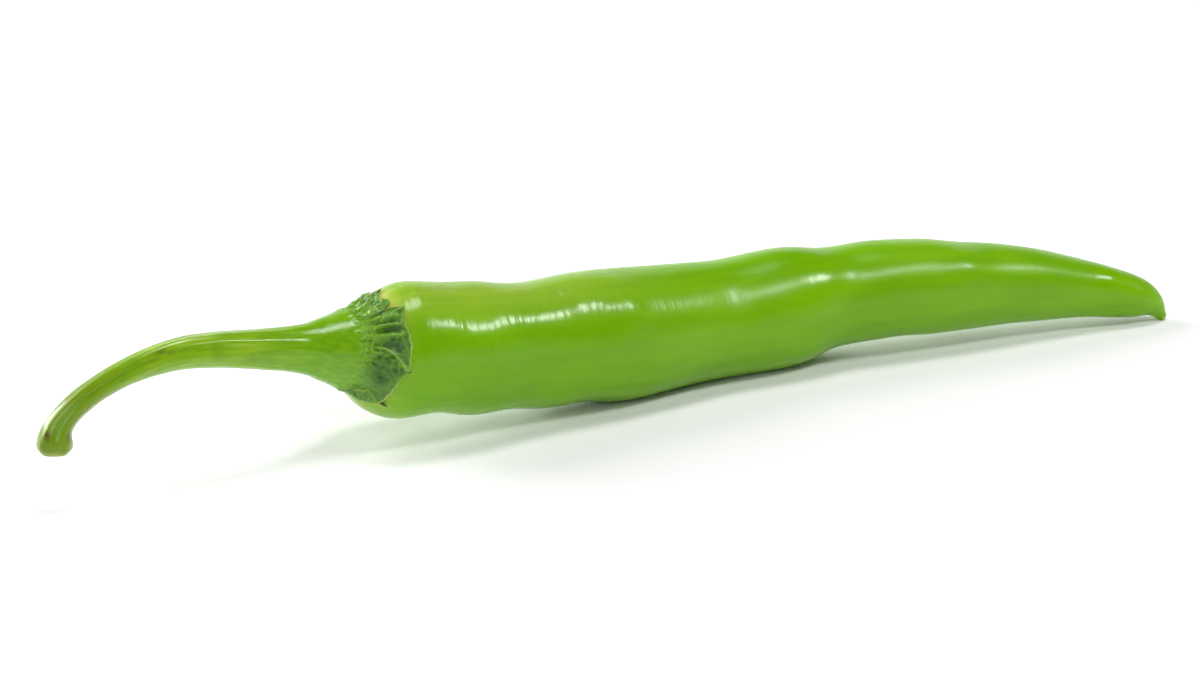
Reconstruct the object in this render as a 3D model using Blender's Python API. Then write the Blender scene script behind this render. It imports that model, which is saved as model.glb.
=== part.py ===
"""A fresh green chili pepper, picked with its stem and lying on a table.

It has three pieces: the pod, the calyx that caps its shoulder, and the stem that grows
out of the calyx. All three are swept along one curved axis, from the cut end of the stem
to the nib at the pod's tip, so they always line up.

Metres, +Z up. The pepper lies along X, with the stem at -X and the tip at +X, and it rests
on the flat of its belly at z = 0. The origin is the middle of its footprint. The tables
below are in millimetres and count from the calyx rim, where the pod is cut by x = 0.
"""

import math

import bmesh
import bpy
import numpy as np
from mathutils import Vector

MM = 0.001

# Where the calyx rim stands in the part's frame, so that the footprint is centred on it.
RIM_X = -47.42
RIM_Y = 1.96

# The axis: along, across (minus is the near side) and height of its middle line.
AXIS = (
    (-56.2, 0.0, 9.0),
    (-55.7, 0.0, 12.4),
    (-53.0, 0.0, 15.6),
    (-45.0, 0.0, 19.6),
    (-35.0, 0.0, 21.5),
    (-24.7, 0.0, 20.5),
    (-10.7, 0.0, 18.1),
    (0.0, 0.0, 16.15),
    (4.0, 0.0, 15.45),
    (18.0, 0.1, 13.5),
    (30.0, 0.4, 12.3),
    (45.0, 1.0, 10.95),
    (60.0, 1.4, 10.2),
    (80.0, 0.8, 10.1),
    (96.0, -1.1, 10.8),
    (106.0, -2.8, 10.5),
    (122.0, -5.6, 9.2),
    (138.0, -9.1, 6.9),
    (146.5, -12.0, 4.9),
    (151.6, -14.1, 2.6),
    (153.3, -15.2, 0.0),
)

# Pod: the dome of its shoulder, which is more pointed on top and squarer underneath, then its
# radius by distance along the axis. Three faint lobes in the section fade towards the tip.
DOME_START = -7.1
DOME_END = 4.4
DOME_POWER_TOP = 1.7
DOME_POWER_UNDER = 2.3
POD_RADIUS = (
    (0.0, 11.0),
    (5.0, 11.05),
    (11.0, 10.85),
    (18.0, 10.9),
    (23.0, 10.4),
    (31.0, 10.6),
    (46.0, 11.2),
    (56.0, 10.5),
    (68.0, 10.1),
    (78.0, 10.35),
    (83.5, 9.95),
    (88.5, 9.0),
    (97.0, 8.75),
    (111.0, 8.4),
    (124.0, 7.2),
    (135.0, 6.1),
    (144.0, 4.8),
    (149.0, 4.1),
    (152.6, 3.2),
    (155.2, 2.0),
    (156.9, 1.1),
)
NIB_LENGTH = 1.1
LOBES = 3
LOBE_TURN = 0.6
LOBE_SHARE = 0.018
LOBE_FADE = 60.0

# Soft lumps and dents of the pod: distance, angle, height, half length and half width in degrees.
LUMPS = (
    (1.0, 180, 0.25, 4.5, 45),
    (9.0, 180, -0.7, 4.0, 40),
    (17.0, 185, 0.2, 4.5, 45),
    (28.5, 180, 0.65, 6.0, 45),
    (38.0, 180, -0.5, 4.0, 45),
    (53.0, 180, 0.3, 14.0, 30),
    (72.0, 180, 0.3, 12.0, 30),
    (86.5, 180, -0.45, 3.5, 50),
    (102.5, 180, -0.35, 4.5, 50),
    (8.5, 0, 0.2, 4.5, 50),
    (28.5, 0, -0.35, 6.0, 50),
    (60.0, 0, 0.25, 7.0, 55),
    (87.0, 60, -0.3, 5.0, 40),
    (97.0, 0, 0.2, 5.0, 50),
    (115.0, 0, -0.35, 5.0, 55),
    (136.0, 0, -0.3, 6.0, 60),
    (48.0, 120, 0.25, 8.0, 35),
    (68.0, 250, -0.3, 9.0, 40),
    (35.0, 280, 0.3, 9.0, 40),
)

# Calyx: a funnel that opens from the stem, then a thin skirt that lies on the dome.
FUNNEL_RADIUS = (
    (-12.6, 4.35),
    (-10.5, 5.1),
    (-8.4, 5.85),
    (-6.6, 6.7),
)
SKIRT_START = -5.2
SKIRT_THICKNESS = 0.7
TOOTH_THICKNESS = 0.6
SEAT_GAP = 0.3
BLEND = 14.0

# The skirt's margin: angle round the axis (0 is the top, 90 the near side) and how far
# along it reaches. A reach further than its neighbours' is a tooth.
MARGIN = (
    (4, -2.3),
    (13, -3.9),
    (23, -2.6),
    (29, -3.6),
    (35, -0.7),
    (44, -1.5),
    (52, -1.6),
    (70, -0.6),
    (84, -0.6),
    (94, -0.7),
    (104, -1.8),
    (122, -2.2),
    (134, -2.2),
    (141, -1.2),
    (148, -3.6),
    (165, -5.8),
    (188, -5.6),
    (205, -4.4),
    (220, -1.4),
    (230, -3.2),
    (252, -1.8),
    (270, -1.9),
    (285, -0.3),
    (296, -2.0),
    (318, -2.6),
    (338, -2.2),
    (352, -3.4),
)

# Stem: its radius by distance along the axis, from the cut end up to the calyx.
STEM_RADIUS = (
    (-62.2, 2.55),
    (-61.3, 2.75),
    (-59.9, 2.65),
    (-57.6, 2.15),
    (-54.5, 1.95),
    (-46.0, 1.95),
    (-39.0, 2.3),
    (-25.0, 3.0),
    (-18.0, 3.5),
    (-12.9, 4.25),
)
CUT_EDGE = 0.7
STEM_RIDGES = 5
RIDGE_SHARE = 0.045

POD_SIDES = 32
STEM_SIDES = 20
SKIRT_STEP_DEG = 6.0

# Base colours (linear) and roughness.
POD_COLOR = (0.16, 0.40, 0.010)
CALYX_COLOR = (0.07, 0.19, 0.020)
STEM_COLOR = (0.21, 0.38, 0.035)
POD_ROUGHNESS = 0.22
CALYX_ROUGHNESS = 0.40
STEM_ROUGHNESS = 0.35


def smooth_curve(knots):
    """A natural cubic spline through (position, value, ...) knots, as a function of position."""
    table = np.array(knots, float)
    at, values = table[:, 0], table[:, 1:]
    step = np.diff(at)
    system = np.eye(len(at))
    right = np.zeros_like(values)
    for i in range(1, len(at) - 1):
        system[i, i - 1 : i + 2] = step[i - 1], 2 * (step[i - 1] + step[i]), step[i]
        rise = (values[i + 1] - values[i]) / step[i]
        right[i] = 6 * (rise - (values[i] - values[i - 1]) / step[i - 1])
    bend = np.linalg.solve(system, right)

    def value(position):
        i = int(np.clip(np.searchsorted(at, position) - 1, 0, len(step) - 1))
        a, b, h = at[i + 1] - position, position - at[i], step[i]
        cubic = bend[i] * (a**3 - a * h * h) + bend[i + 1] * (b**3 - b * h * h)
        return (values[i] * a + values[i + 1] * b) / h + cubic / (6 * h)

    return value


def lengths_along(points):
    """The distance of each point from the first, measured along the line through them."""
    return np.r_[0.0, np.cumsum(np.linalg.norm(np.diff(points, axis=0), axis=1))]


class Axis:
    """The pepper's middle line, by distance from the rim, with a frame that doesn't twist."""

    SAMPLE = 0.25

    def __init__(self):
        knots = np.array(AXIS)
        chord = lengths_along(knots)
        curve = smooth_curve(np.column_stack([chord, knots]))
        steps = np.linspace(0.0, chord[-1], int(chord[-1] / self.SAMPLE))
        self.points = np.array([curve(step) for step in steps])
        length = lengths_along(self.points)
        self.distance = length - np.interp(0.0, self.points[:, 0], length)
        self.tangents = np.gradient(self.points, self.distance, axis=0)
        self.tangents /= np.linalg.norm(self.tangents, axis=1)[:, None]
        self.ups = self.carried_ups(int(np.argmin(np.abs(self.distance))))

    def carried_ups(self, rim):
        """The direction of angle 0 at each sample: straight up at the rim, carried along both ways."""
        ups = np.zeros_like(self.points)
        ups[rim] = self.square_to((0.0, 0.0, 1.0), rim)
        for i in range(rim + 1, len(ups)):
            ups[i] = self.square_to(ups[i - 1], i)
        for i in range(rim - 1, -1, -1):
            ups[i] = self.square_to(ups[i + 1], i)
        return ups

    def square_to(self, direction, i):
        flat = direction - np.dot(direction, self.tangents[i]) * self.tangents[i]
        return flat / np.linalg.norm(flat)

    def read(self, table, distance):
        return np.array([np.interp(distance, self.distance, column) for column in table.T])

    def point(self, distance, angle, radius):
        """A point at this radius and angle (radians) from the axis, in millimetres from the rim."""
        middle = self.read(self.points, distance)
        along = self.read(self.tangents, distance)
        up = self.read(self.ups, distance)
        up /= np.linalg.norm(up)
        near = np.cross(along, up)
        return middle + radius * (math.cos(angle) * up + math.sin(angle) * near)


def in_frame(point):
    """Millimetres from the rim to metres in the part's frame, with the belly flattened at z = 0."""
    x, y, z = point
    return Vector(((x + RIM_X) * MM, (y + RIM_Y) * MM, max(z, 0.0) * MM))


def turned_angles(sides):
    return [2 * math.pi * k / sides for k in range(sides)]


def skin(name, rings, first_pole, last_pole):
    """One closed skin over rings of points, closed to a pole point at each end."""
    bm = bmesh.new()
    loops = [[bm.verts.new(in_frame(p)) for p in ring] for ring in rings]
    for low, high in zip(loops, loops[1:]):
        for k in range(len(low)):
            n = (k + 1) % len(low)
            bm.faces.new((low[k], low[n], high[n], high[k]))
    for pole, loop in ((first_pole, loops[0]), (last_pole, loops[-1])):
        tip = bm.verts.new(in_frame(pole))
        for k in range(len(loop)):
            bm.faces.new((tip, loop[k], loop[(k + 1) % len(loop)]))
    bmesh.ops.recalc_face_normals(bm, faces=bm.faces)
    mesh = bpy.data.meshes.new(name)
    bm.to_mesh(mesh)
    bm.free()
    mesh.shade_smooth()
    part = bpy.data.objects.new(name, mesh)
    bpy.context.scene.collection.objects.link(part)
    return part


def finish(part, color, roughness):
    material = bpy.data.materials.new(part.name)
    material.use_nodes = True
    shader = material.node_tree.nodes["Principled BSDF"]
    shader.inputs["Base Color"].default_value = (*color, 1.0)
    shader.inputs["Roughness"].default_value = roughness
    shader.inputs["Metallic"].default_value = 0.0
    part.data.materials.append(material)


class PodSurface:
    """The pod's skin, as a radius from the axis."""

    def __init__(self):
        self.body = smooth_curve(POD_RADIUS)
        self.nib_start = POD_RADIUS[-1][0]
        self.nib_end = self.nib_start + NIB_LENGTH

    def closing(self, distance, angle):
        """The share of the full radius that is left where the pod closes, at the dome and at the nib."""
        top = 0.5 + 0.5 * math.cos(angle)
        power = DOME_POWER_UNDER + (DOME_POWER_TOP - DOME_POWER_UNDER) * top
        dome = min(max((DOME_END - distance) / (DOME_END - DOME_START), 0.0), 1.0)
        nib = min(max((distance - self.nib_start) / NIB_LENGTH, 0.0), 1.0)
        return (1.0 - dome**power) ** (1.0 / power) * math.sqrt(1.0 - nib * nib)

    def lumps(self, distance, angle):
        height = 0.0
        for at, degrees, rise, length, width in LUMPS:
            turn = math.degrees(angle) - degrees
            turn = (turn + 180.0) % 360.0 - 180.0
            height += rise * math.exp(-(((distance - at) / length) ** 2) - (turn / width) ** 2)
        return height

    def radius(self, distance, angle):
        full = float(self.body(min(max(distance, 0.0), self.nib_start))[0])
        lobe = LOBE_SHARE * math.exp(-((distance / LOBE_FADE) ** 2))
        full *= 1.0 + lobe * math.cos(LOBES * angle - LOBE_TURN)
        return (full + self.lumps(distance, angle)) * self.closing(distance, angle)


def make_pod(axis, surface):
    dome_rings, nib_rings, body_step = 9, 3, 3.2
    dome_turns = [0.5 * math.pi * k / dome_rings for k in range(1, dome_rings + 1)]
    nib_turns = [0.5 * math.pi * k / nib_rings for k in range(1, nib_rings)]
    body_rings = int((surface.nib_start - DOME_END) / body_step)
    distances = [DOME_END - (DOME_END - DOME_START) * math.cos(t) for t in dome_turns]
    distances += list(np.linspace(DOME_END, surface.nib_start, body_rings))[1:]
    distances += [surface.nib_start + NIB_LENGTH * math.sin(t) for t in nib_turns]
    angles = turned_angles(POD_SIDES)
    rings = [[axis.point(d, a, surface.radius(d, a)) for a in angles] for d in distances]
    apex = axis.point(DOME_START, 0.0, 0.0)
    nib = axis.point(surface.nib_end, 0.0, 0.0)
    pod = skin("pod", rings, apex, nib)
    finish(pod, POD_COLOR, POD_ROUGHNESS)
    return pod


def margin_angles():
    """Every margin angle in degrees, with even steps between, so that each tooth keeps its point."""
    angles = []
    for (a, _), (b, _) in zip(MARGIN, MARGIN[1:] + ((MARGIN[0][0] + 360, 0.0),)):
        steps = max(1, math.ceil((b - a) / SKIRT_STEP_DEG))
        angles += [a + (b - a) * k / steps for k in range(steps)]
    return angles


def margin_reach(angle):
    """How far along the axis the skirt reaches at this angle, in degrees."""
    angles = [a for a, _ in MARGIN] + [MARGIN[0][0] + 360]
    reaches = [r for _, r in MARGIN] + [MARGIN[0][1]]
    return float(np.interp((angle - angles[0]) % 360 + angles[0], angles, reaches))


def make_calyx(axis, surface):
    funnel_at = smooth_curve(FUNNEL_RADIUS)
    angles = margin_angles()
    reaches = [margin_reach(a) for a in angles]
    start, funnel_end = FUNNEL_RADIUS[0][0], FUNNEL_RADIUS[-1][0]
    funnel_rows, skirt_rows, seat_rows = 6, 8, 7
    seat_start = DOME_START - SEAT_GAP
    past_apex = DOME_START + 0.1 * SEAT_GAP

    def seat_radius(distance, angle):
        """The calyx's inside: the pod's skin and a small gap over it."""
        return surface.radius(max(distance, past_apex), angle) + SEAT_GAP

    def outer_radius(distance, angle):
        """The funnel, and where the pod is wider, the skirt that covers it."""
        share = min(max((distance - SKIRT_START) / -SKIRT_START, 0.0), 1.0)
        thickness = SKIRT_THICKNESS + (TOOTH_THICKNESS - SKIRT_THICKNESS) * share
        funnel = float(funnel_at(min(distance, funnel_end))[0])
        skirt = surface.radius(distance, angle) + SEAT_GAP + thickness
        return (funnel**BLEND + skirt**BLEND) ** (1.0 / BLEND)

    def ring(distances, radius_of):
        turns = [math.radians(a) for a in angles]
        return [axis.point(d, t, radius_of(d, t)) for d, t in zip(distances, turns)]

    rings = []
    for distance in np.linspace(start, funnel_end, funnel_rows):
        rings.append(ring([distance] * len(angles), outer_radius))
    for share in np.linspace(0.0, 1.0, skirt_rows + 1)[1:]:
        out = [funnel_end + (reach - funnel_end) * share for reach in reaches]
        rings.append(ring(out, outer_radius))
    for share in np.linspace(1.0, 0.0, seat_rows + 1)[:-1]:
        under = [seat_start + (reach - seat_start) * share**2 for reach in reaches]
        rings.append(ring(under, seat_radius))
    face = axis.point(start, 0.0, 0.0)
    seat = axis.point(seat_start, 0.0, 0.0)
    calyx = skin("calyx", rings, face, seat)
    finish(calyx, CALYX_COLOR, CALYX_ROUGHNESS)
    return calyx


def make_stem(axis):
    radius_at = smooth_curve(STEM_RADIUS)
    angles = turned_angles(STEM_SIDES)
    cut, root = STEM_RADIUS[0][0], STEM_RADIUS[-1][0]
    ring_step = 1.9

    def ring(distance, radius):
        return [
            axis.point(distance, a, radius * (1 + RIDGE_SHARE * math.cos(STEM_RIDGES * a)))
            for a in angles
        ]

    rings = []
    for turn in (0.0, 0.25 * math.pi):
        setback = CUT_EDGE * (1 - math.cos(turn))
        inset = CUT_EDGE * (1 - math.sin(turn))
        rings.append(ring(cut + setback, STEM_RADIUS[0][1] - inset))
    body = np.linspace(cut + CUT_EDGE, root, int((root - cut) / ring_step))
    rings += [ring(d, float(radius_at(d)[0])) for d in body]
    stem = skin("stem", rings, axis.point(cut, 0, 0), axis.point(root, 0, 0))
    finish(stem, STEM_COLOR, STEM_ROUGHNESS)
    return stem


def main():
    for old in list(bpy.data.objects):
        bpy.data.objects.remove(old)
    axis = Axis()
    surface = PodSurface()
    whole = bpy.data.objects.new("pepper", None)
    bpy.context.scene.collection.objects.link(whole)
    for piece in (make_pod(axis, surface), make_calyx(axis, surface), make_stem(axis)):
        piece.parent = whole


main()
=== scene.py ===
"""Dresses the green chili pepper: its glossy pod, its wrinkled calyx and its ridged stem.

Each piece replaces the plain solid of the same name. It is swept along the same axis with
the same radii, as a much finer mesh that adds the relief: lumps and soft waves on the pod,
pleats and creases in the calyx, and ribs, ridges and a groove along the stem. What is finer,
such as the pod's ripples, and what is colour alone, such as the stem's scars, is in the
finishes.

The shape's tables are in millimetres and count from the calyx rim, as on the solids. A
distance runs along the axis from the rim, minus towards the stem. An angle turns round the
axis from the top, with 90 degrees on the near side and 180 underneath.
"""

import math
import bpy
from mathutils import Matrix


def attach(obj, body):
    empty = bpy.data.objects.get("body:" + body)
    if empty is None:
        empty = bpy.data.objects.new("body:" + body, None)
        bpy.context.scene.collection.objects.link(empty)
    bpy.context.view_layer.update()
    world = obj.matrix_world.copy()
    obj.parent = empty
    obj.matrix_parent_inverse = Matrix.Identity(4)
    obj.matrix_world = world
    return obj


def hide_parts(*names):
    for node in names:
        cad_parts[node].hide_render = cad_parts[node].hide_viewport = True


bl_info = {
    "name": "Green Chili Pepper",
    "version": (1, 0, 0),
    "blender": (4, 5, 0),
    "location": "View3D > Sidebar > Chili",
    "description": "A fresh green chili pepper with its calyx and stem, in a white studio",
    "category": "Add Mesh",
}

import bpy
import numpy as np
from bpy.props import FloatProperty, FloatVectorProperty, PointerProperty
from mathutils import Vector

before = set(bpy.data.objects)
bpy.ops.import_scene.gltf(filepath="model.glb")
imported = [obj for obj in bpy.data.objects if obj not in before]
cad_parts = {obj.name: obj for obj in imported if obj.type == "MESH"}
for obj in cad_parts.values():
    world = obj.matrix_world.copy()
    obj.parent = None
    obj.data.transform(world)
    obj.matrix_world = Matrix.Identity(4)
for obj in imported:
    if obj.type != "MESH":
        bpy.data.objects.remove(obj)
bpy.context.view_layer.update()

MM = 0.001
TURN = 2 * math.pi

# Where the calyx rim stands in the frame.
RIM_X = -47.42
RIM_Y = 1.96

# The axis: along, across (minus is the near side) and height of its middle line.
AXIS = (
    (-56.2, 0.0, 9.0), (-55.7, 0.0, 12.4), (-53.0, 0.0, 15.6), (-45.0, 0.0, 19.6),
    (-35.0, 0.0, 21.5), (-24.7, 0.0, 20.5), (-10.7, 0.0, 18.1), (0.0, 0.0, 16.15),
    (4.0, 0.0, 15.45), (18.0, 0.1, 13.5), (30.0, 0.4, 12.3), (45.0, 1.0, 10.95),
    (60.0, 1.4, 10.2), (80.0, 0.8, 10.1), (96.0, -1.1, 10.8), (106.0, -2.8, 10.5),
    (122.0, -5.6, 9.2), (138.0, -9.1, 6.9), (146.5, -12.0, 4.9), (151.6, -14.1, 2.6),
    (153.3, -15.2, 0.0),
)

# Pod: the dome of its shoulder, then its radius by distance along the axis.
DOME_START = -7.1
DOME_END = 4.4
DOME_POWER_TOP = 1.7
DOME_POWER_UNDER = 2.3
POD_RADIUS = (
    (0.0, 11.0), (5.0, 11.05), (11.0, 10.85), (18.0, 10.9), (23.0, 10.4), (31.0, 10.6),
    (46.0, 11.2), (56.0, 10.5), (68.0, 10.1), (78.0, 10.35), (83.5, 9.95), (88.5, 9.0),
    (97.0, 8.75), (111.0, 8.4), (124.0, 7.2), (135.0, 6.1), (144.0, 4.8), (149.0, 4.1),
    (152.6, 3.2), (155.2, 2.0), (156.9, 1.1),
)
NIB_LENGTH = 1.1

# Faint lobes round the shoulder: how many, their turn in radians, their height as a share of
# the radius, and how far along the pod they fade.
LOBES = 3
LOBE_TURN = 0.6
LOBE_SHARE = 0.018
LOBE_FADE = 60.0

# Soft lumps and dents of the pod: distance, angle, height, half length and half width in degrees.
LUMPS = (
    (1.0, 180, 0.25, 4.5, 45), (9.0, 180, -0.7, 4.0, 40), (17.0, 185, 0.2, 4.5, 45),
    (28.5, 180, 0.65, 6.0, 45), (38.0, 180, -0.5, 4.0, 45), (53.0, 180, 0.3, 14.0, 30),
    (72.0, 180, 0.3, 12.0, 30), (86.5, 180, -0.45, 3.5, 50), (102.5, 180, -0.35, 4.5, 50),
    (8.5, 0, 0.2, 4.5, 50), (28.5, 0, -0.35, 6.0, 50), (60.0, 0, 0.25, 7.0, 55),
    (87.0, 60, -0.3, 5.0, 40), (97.0, 0, 0.2, 5.0, 50), (115.0, 0, -0.35, 5.0, 55),
    (136.0, 0, -0.3, 6.0, 60), (48.0, 120, 0.25, 8.0, 35), (68.0, 250, -0.3, 9.0, 40),
    (35.0, 280, 0.3, 9.0, 40),
)

# Lumps and dents of the near side, too slight for the plain solid: they shape its sheen.
NEAR_LUMPS = (
    (7.5, 58, 0.3, 2.4, 30), (12.0, 76, 0.6, 6.0, 26), (24.5, 58, 0.5, 5.2, 32),
    (33.0, 22, 0.6, 9.0, 28), (37.0, 50, -0.12, 4.0, 28), (42.0, 48, 0.5, 3.0, 28),
    (61.0, 48, -0.2, 5.0, 28), (66.0, 50, -0.45, 4.2, 28), (80.0, 12, 0.55, 8.0, 28),
    (86.8, 46, 0.5, 3.9, 30), (113.0, 48, 0.6, 4.5, 28), (144.0, 35, 0.2, 2.2, 30),
)

# Calyx: a funnel that opens from the stem, then a skirt that lies on the dome.
FUNNEL_RADIUS = ((-12.6, 4.30), (-10.5, 5.1), (-8.4, 5.85), (-6.6, 6.7))
SKIRT_START = -5.2
SKIRT_GAP = 0.15
SKIRT_THICKNESS = 0.75
EDGE_THICKNESS = 0.3
# How sharply the funnel turns into the skirt.
BLEND = 14.0
# The deepest crease, as a share of how far the skirt stands over the pod.
DEEPEST_CREASE = 0.7

# The skirt's margin: angle round the axis and how far along it reaches.
MARGIN = (
    (4, -1.9), (11, -2.2), (18, -1.2), (24, -1.7), (28.5, -2.3), (31, -0.5), (33, 0.3),
    (37, 0.0), (45, -0.5), (53, -0.2), (62, 0.1), (72, 0.3), (84, 0.2), (94, 0.0),
    (99, -0.7), (108, -1.4), (122, -2.1), (131, -2.5), (136, -2.9), (145, -4.2), (160, -5.6),
    (172, -6.2), (188, -5.8), (205, -4.4), (220, -1.2), (230, -3.0), (252, -1.4),
    (270, -1.5), (285, -0.1), (296, -1.8), (318, -2.2), (330, -2.4), (338, -1.6), (346, -2.2),
    (353, -1.0),
)

# Where the skirt turns from the funnel's green to its own, darker one: angle and distance.
DARKER_FROM = (
    (0, -3.6), (30, -3.6), (49, -3.8), (75, -4.2), (95, -5.4), (118, -5.6), (133, -6.4),
    (170, -7.4), (230, -6.0), (290, -4.4), (330, -3.8),
)

# Patches of painted shade in the skirt: distance, angle, depth, half length, half width in degrees.
SHADE_PAINTED_PATCHES = (
    (-3.9, 107, 1.0, 1.3, 14), (-2.9, 122, 0.7, 1.0, 7), (-1.7, 73, 0.8, 1.2, 10),
    (-2.4, 53, 0.7, 1.2, 2.6), (-1.7, -4, 0.8, 0.8, 4), (-1.8, 27, 0.6, 0.8, 3),
    (-3.6, 30, 0.4, 0.8, 5), (-4.9, 148, 0.5, 0.9, 7), (-2.6, 66, 0.7, 1.0, 2.5),
    (-3.6, 205, 0.8, 1.3, 12), (-3.0, 255, 0.8, 1.2, 10), (-2.4, 293, 0.7, 1.1, 7),
    (-3.0, 325, 0.6, 1.0, 7),
)

# Sharp ridges of the skirt, paler along the top: height, half width, then points of
# distance and angle.
RIDGES = (
    (0.28, 0.16, ((-4.4, 72), (-3.4, 74), (-2.6, 77), (-1.5, 84), (-0.2, 94))),
    (0.30, 0.16, ((-7.8, 153), (-7.0, 146), (-5.9, 140), (-4.7, 127), (-3.7, 131), (-2.9, 134))),
    (0.30, 0.14, ((-3.4, 41), (-2.8, 39), (-1.3, 34.5), (0.2, 32.5))),
    (0.22, 0.14, ((-3.8, 46), (-2.7, 47.5), (-0.9, 49))),
    (0.22, 0.14, ((-3.6, 58), (-2.6, 59.5), (-1.2, 60))),
    (0.20, 0.14, ((-4.3, 10), (-3.3, 14), (-2.4, 20))),
    (0.18, 0.12, ((-4.9, 24), (-3.6, 27), (-2.7, 28))),
    (0.16, 0.12, ((-5.2, 2), (-3.6, -2), (-1.4, -6))),
    (0.25, 0.16, ((-5.6, 222), (-3.6, 218), (-1.5, 220))),
    (0.25, 0.16, ((-5.0, 280), (-3.0, 282), (-0.6, 285))),
    (0.20, 0.14, ((-4.8, 306), (-3.4, 309), (-2.4, 315))),
    (0.20, 0.14, ((-4.6, 336), (-3.2, 340), (-1.9, 338))),
)
# Millimetres along the skin for a degree round the skirt.
DEGREE = 0.18

# Ridges and creases of the skirt: angle, height, half width in degrees, first and last
# distance, and how many degrees the fold leans over its length.
FOLDS = (
    (4, 0.25, 2.5, -6.0, -2.0, 2), (13, -0.3, 2.2, -6.4, -3.6, -2), (23, 0.3, 2.4, -6.0, -2.4, 3),
    (29, -0.35, 2.0, -6.2, -3.4, 3), (37, 0.45, 3.2, -5.6, -0.9, 5), (44, -0.2, 1.8, -4.4, -1.4, 2),
    (48, 0.35, 2.2, -4.6, -1.2, 0), (53, -0.55, 2.2, -4.8, -1.4, 1), (60, 0.35, 2.6, -5.6, -1.0, 2),
    (69, -0.35, 2.4, -4.6, -1.8, 4), (78, 0.2, 2.6, -6.0, -1.6, 6), (86, 0.3, 1.8, -3.4, -0.9, 9),
    (95, -0.15, 3.5, -5.4, -1.4, 4), (112, 0.18, 5.0, -6.0, -2.6, 0), (128, -0.15, 4.0, -6.0, -2.8, 0),
    (141, 0.25, 3.5, -6.0, -1.6, 0), (150, -0.3, 3.0, -7.0, -4.2, 4), (170, 0.2, 5.0, -7.2, -6.0, 0),
    (204, 0.2, 5.0, -6.6, -4.6, 0), (220, 0.3, 3.0, -6.2, -1.8, 0), (231, -0.3, 3.0, -6.2, -3.4, 2),
    (248, 0.25, 4.0, -6.0, -2.2, 2), (260, -0.35, 2.8, -5.6, -2.2, -3), (272, 0.25, 3.0, -5.8, -2.0, 2),
    (285, 0.4, 3.0, -5.8, -0.7, 0), (295, -0.35, 2.4, -5.8, -2.2, 3), (306, 0.3, 2.6, -5.8, -2.4, -4),
    (318, 0.25, 2.8, -6.0, -2.8, 2), (327, -0.35, 2.2, -6.0, -2.6, 2), (338, 0.35, 2.8, -6.0, -2.4, 0),
    (352, -0.3, 2.4, -6.2, -3.6, 3),
)

# Withered tips of the skirt's teeth: angle, length, half width and how far they stand off.
TOOTH_TIPS = (
    (-7, 1.0, 0.30, 0.10),
    (94.5, 0.8, 0.28, 0.10),
    (134, 1.9, 0.34, 0.30),
    (220, 1.4, 0.32, 0.25),
    (285, 1.0, 0.30, 0.20),
    (338, 1.0, 0.28, 0.15),
)

# Stem: its radius by distance along the axis, from the cut end up into the calyx.
STEM_RADIUS = (
    (-62.2, 2.55), (-61.3, 2.75), (-59.9, 2.65), (-57.6, 2.15), (-54.5, 1.95), (-46.0, 1.95),
    (-39.0, 2.3), (-25.0, 3.0), (-18.0, 3.5), (-12.9, 4.24), (-11.4, 4.68),
)
CUT_EDGE = 0.7

# Narrow ridges along the stem: angle, height, half width in degrees, first and last distance.
STEM_RIDGES = (
    (48, 0.04, 8.0, -40.0, -12.0), (68, 0.04, 7.0, -34.0, -10.0), (20, 0.05, 6.0, -44.0, -16.0),
    (96, 0.05, 6.0, -46.0, -18.0), (140, 0.06, 7.0, -52.0, -18.0), (215, 0.06, 6.0, -50.0, -14.0),
    (290, 0.06, 6.0, -48.0, -14.0), (335, 0.05, 5.0, -50.0, -16.0),
)

# Marks on the stem: distance, angle, depth of colour, half length and half width in degrees.
STEM_MARKS = (
    (-38.9, 44, 0.6, 1.0, 12), (-37.6, 56, 0.5, 0.7, 8), (-40.6, 62, 0.45, 1.6, 7),
    (-35.0, 60, 0.3, 1.2, 6), (-59.3, 34, 0.9, 0.5, 11), (-60.6, 22, 0.5, 0.8, 13),
    (-58.7, 118, 1.0, 1.1, 9), (-55.0, 8, 0.4, 0.8, 12), (-24.0, 94, 0.25, 0.6, 6),
    (-47.0, 210, 0.5, 1.2, 14), (-30.0, 265, 0.4, 1.4, 9), (-20.5, 120, 0.25, 0.5, 6),
)

# Colours that the settings leave as they are.
FUNNEL_STREAK = (0.185, 0.400, 0.006)
SKIRT_SHADE = (0.075, 0.220, 0.006)
SKIRT_LIGHT = (0.110, 0.290, 0.008)
PAINTED_CREST_LIGHT = (0.15, 0.36, 0.02)
PALE_RIDGE = (0.33, 0.50, 0.10)
WITHERED = (0.030, 0.028, 0.008)
STEM_STREAK = (0.27, 0.46, 0.020)
OLD_STEM = (0.150, 0.235, 0.003)
DRY_CUT = (0.33, 0.36, 0.10)
WHITE = (1.0, 1.0, 1.0)

# What every colour in the settings shares, and every light's power in watts.
COLOR = {"subtype": "COLOR", "size": 3, "min": 0.0, "max": 1.0}
POWER = {"unit": "POWER", "min": 0.0, "max": 200.0}

# The camera, in millimetres, and the direction it looks in.
CAMERA_AT = (-273.7, -437.3, 178.35)
CAMERA_FORWARD = (0.4955, 0.8118, -0.3090)
CAMERA_LENS = 96.4


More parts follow.
